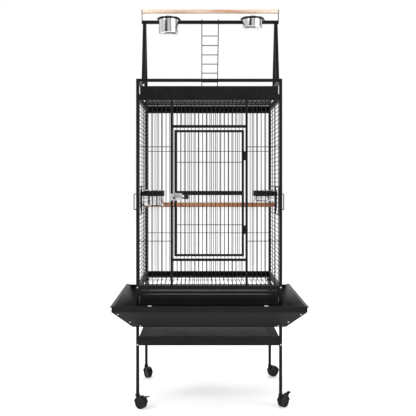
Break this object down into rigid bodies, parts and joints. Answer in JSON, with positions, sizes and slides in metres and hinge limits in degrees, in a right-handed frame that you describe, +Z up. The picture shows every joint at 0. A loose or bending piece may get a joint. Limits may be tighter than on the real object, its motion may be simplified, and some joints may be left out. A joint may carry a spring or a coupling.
{
  "type": "bird cage on stand",
  "caption": "Tall wire bird cage on a wheeled stand with storage shelf and seed skirt, side feeder doors, and a play-top with perch, ladder and cups.",
  "frame": {"origin": "on the floor, under the middle of the cage", "axes": "+Z up; the main door faces -Y; +X is to the right of someone facing the door"},
  "size_m": [0.816, 0.696, 1.738],
  "materials": {
    "black_powder_coat": "satin powder coat",
    "zinc_fixings": "bright zinc plating",
    "zinc_latch": "zinc-plated pressing",
    "latch_bolt_steel": "black enamel",
    "polished_steel": "polished stainless steel",
    "orange_wood": "stained and oiled hardwood",
    "pale_wood": "pale sanded hardwood",
    "black_plastic": "moulded nylon",
    "wheel_plastic": "moulded wheel tread"
  },
  "bodies": {
    "cage": {"stand_side_left": "black_powder_coat", "stand_side_right": "black_powder_coat", "stand_cross_rails": "black_powder_coat", "storage_shelf": "black_powder_coat", "skirt_front": "black_powder_coat", "skirt_back": "black_powder_coat", "skirt_left": "black_powder_coat", "skirt_right": "black_powder_coat", "front_frame": "black_powder_coat", "front_wires": "black_powder_coat", "back_frame": "black_powder_coat", "back_wires": "black_powder_coat", "left_frame": "black_powder_coat", "left_wires": "black_powder_coat", "right_frame": "black_powder_coat", "right_wires": "black_powder_coat", "top_panel": "black_powder_coat", "door_hinge_brackets": "black_powder_coat", "play_base_frame": "black_powder_coat", "play_legs_left": "black_powder_coat", "play_legs_right": "black_powder_coat", "play_crossbar": "black_powder_coat", "play_perch_brackets": "black_powder_coat", "play_cup_rings": "black_powder_coat", "skirt_screws": "zinc_fixings", "frame_screws": "zinc_fixings", "inner_perch_fixings": "zinc_fixings", "latch_keeper": "zinc_latch", "inner_perch": "orange_wood", "play_perch": "pale_wood", "leg_sockets": "black_plastic"},
    "main_door": {"door_frame": "black_powder_coat", "door_wires": "black_powder_coat", "door_hinge_barrels": "black_powder_coat", "latch_housing": "zinc_latch"},
    "latch_bolt": {"latch_bolt": "latch_bolt_steel"},
    "floor_tray": {"floor_tray": "black_powder_coat"},
    "floor_grate": {"floor_grate": "black_powder_coat"},
    "play_tray": {"play_tray": "black_powder_coat"},
    "ladder": {"ladder": "black_powder_coat"},
    "feeder_door_left": {"feeder_door_left": "black_powder_coat", "feeder_holder_left": "black_powder_coat"},
    "feeder_latch_left": {"feeder_latch_left": "black_powder_coat"},
    "feeder_cup_left": {"feeder_cup_left": "polished_steel"},
    "play_cup_left": {"play_cup_left": "polished_steel"},
    "feeder_door_right": {"feeder_door_right": "black_powder_coat", "feeder_holder_right": "black_powder_coat"},
    "feeder_latch_right": {"feeder_latch_right": "black_powder_coat"},
    "feeder_cup_right": {"feeder_cup_right": "polished_steel"},
    "play_cup_right": {"play_cup_right": "polished_steel"},
    "caster_front_left": {"caster_hood_front_left": "black_plastic"},
    "wheels_front_left": {"caster_wheels_front_left": "wheel_plastic"},
    "brake_front_left": {"caster_brake_front_left": "black_plastic"},
    "caster_front_right": {"caster_hood_front_right": "black_plastic"},
    "wheels_front_right": {"caster_wheels_front_right": "wheel_plastic"},
    "brake_front_right": {"caster_brake_front_right": "black_plastic"},
    "caster_back_left": {"caster_hood_back_left": "black_plastic"},
    "wheels_back_left": {"caster_wheels_back_left": "wheel_plastic"},
    "caster_back_right": {"caster_hood_back_right": "black_plastic"},
    "wheels_back_right": {"caster_wheels_back_right": "wheel_plastic"}
  },
  "joints": [
    {"name": "main_door_hinge", "type": "hinge", "parent": "cage", "child": "main_door", "pos_m": [0.15, -0.2586, 1], "axis": [0, 0, 1], "range_deg": [0, 150]},
    {"name": "latch_bolt_slide", "type": "slide", "parent": "main_door", "child": "latch_bolt", "axis": [-1, 0, 0], "range_m": [0, 0.008]},
    {"name": "floor_tray_slide", "type": "slide", "parent": "cage", "child": "floor_tray", "axis": [0, -1, 0], "range_m": [0, 0.38]},
    {"name": "floor_grate_slide", "type": "slide", "parent": "cage", "child": "floor_grate", "axis": [0, -1, 0], "range_m": [0, 0.38]},
    {"name": "play_tray_slide", "type": "slide", "parent": "cage", "child": "play_tray", "axis": [0, -1, 0], "range_m": [0, 0.38]},
    {"name": "ladder_hinge", "type": "hinge", "parent": "cage", "child": "ladder", "pos_m": [0.0075, 0, 1.679], "axis": [1, 0, 0], "range_deg": [0, 80]},
    {"name": "feeder_door_left_hinge", "type": "hinge", "parent": "cage", "child": "feeder_door_left", "pos_m": [-0.308, -0.006, 0.87], "axis": [0, 0, -1], "range_deg": [0, 100]},
    {"name": "feeder_latch_left_hinge", "type": "hinge", "parent": "feeder_door_left", "child": "feeder_latch_left", "pos_m": [-0.3115, -0.141, 0.866], "axis": [0, 0, 1], "range_deg": [0, 80]},
    {"name": "feeder_cup_left_lift", "type": "slide", "parent": "feeder_door_left", "child": "feeder_cup_left", "axis": [0, 0, 1], "range_m": [0, 0.1]},
    {"name": "play_cup_left_lift", "type": "slide", "parent": "cage", "child": "play_cup_left", "axis": [0, 0, 1], "range_m": [0, 0.1]},
    {"name": "feeder_door_right_hinge", "type": "hinge", "parent": "cage", "child": "feeder_door_right", "pos_m": [0.308, -0.006, 0.87], "axis": [0, 0, 1], "range_deg": [0, 100]},
    {"name": "feeder_latch_right_hinge", "type": "hinge", "parent": "feeder_door_right", "child": "feeder_latch_right", "pos_m": [0.3115, -0.141, 0.866], "axis": [0, 0, -1], "range_deg": [0, 80]},
    {"name": "feeder_cup_right_lift", "type": "slide", "parent": "feeder_door_right", "child": "feeder_cup_right", "axis": [0, 0, 1], "range_m": [0, 0.1]},
    {"name": "play_cup_right_lift", "type": "slide", "parent": "cage", "child": "play_cup_right", "axis": [0, 0, 1], "range_m": [0, 0.1]},
    {"name": "caster_front_left_swivel", "type": "hinge", "parent": "cage", "child": "caster_front_left", "pos_m": [-0.3015, -0.2485, 0.06], "axis": [0, 0, 1], "continuous": true},
    {"name": "wheels_front_left_roll", "type": "hinge", "parent": "caster_front_left", "child": "wheels_front_left", "pos_m": [-0.28658, -0.25856, 0.025], "axis": [0.5592, 0.829, 0], "continuous": true},
    {"name": "brake_front_left_lever", "type": "hinge", "parent": "caster_front_left", "child": "brake_front_left", "pos_m": [-0.26834, -0.27087, 0.05], "axis": [0.5592, 0.829, 0], "range_deg": [0, 15]},
    {"name": "caster_front_right_swivel", "type": "hinge", "parent": "cage", "child": "caster_front_right", "pos_m": [0.3015, -0.2485, 0.06], "axis": [0, 0, 1], "continuous": true},
    {"name": "wheels_front_right_roll", "type": "hinge", "parent": "caster_front_right", "child": "wheels_front_right", "pos_m": [0.31445, -0.236, 0.025], "axis": [-0.6947, 0.7193, 0], "continuous": true},
    {"name": "brake_front_right_lever", "type": "hinge", "parent": "caster_front_right", "child": "brake_front_right", "pos_m": [0.33027, -0.22071, 0.05], "axis": [-0.6947, 0.7193, 0], "range_deg": [0, 15]},
    {"name": "caster_back_left_swivel", "type": "hinge", "parent": "cage", "child": "caster_back_left", "pos_m": [-0.3015, 0.2485, 0.06], "axis": [0, 0, 1], "continuous": true},
    {"name": "wheels_back_left_roll", "type": "hinge", "parent": "caster_back_left", "child": "wheels_back_left", "pos_m": [-0.2925, 0.23291, 0.025], "axis": [0.866, 0.5, 0], "continuous": true},
    {"name": "caster_back_right_swivel", "type": "hinge", "parent": "cage", "child": "caster_back_right", "pos_m": [0.3015, 0.2485, 0.06], "axis": [0, 0, 1], "continuous": true},
    {"name": "wheels_back_right_roll", "type": "hinge", "parent": "caster_back_right", "child": "wheels_back_right", "pos_m": [0.31754, 0.25667, 0.025], "axis": [-0.454, 0.891, 0], "continuous": true}
  ]
}
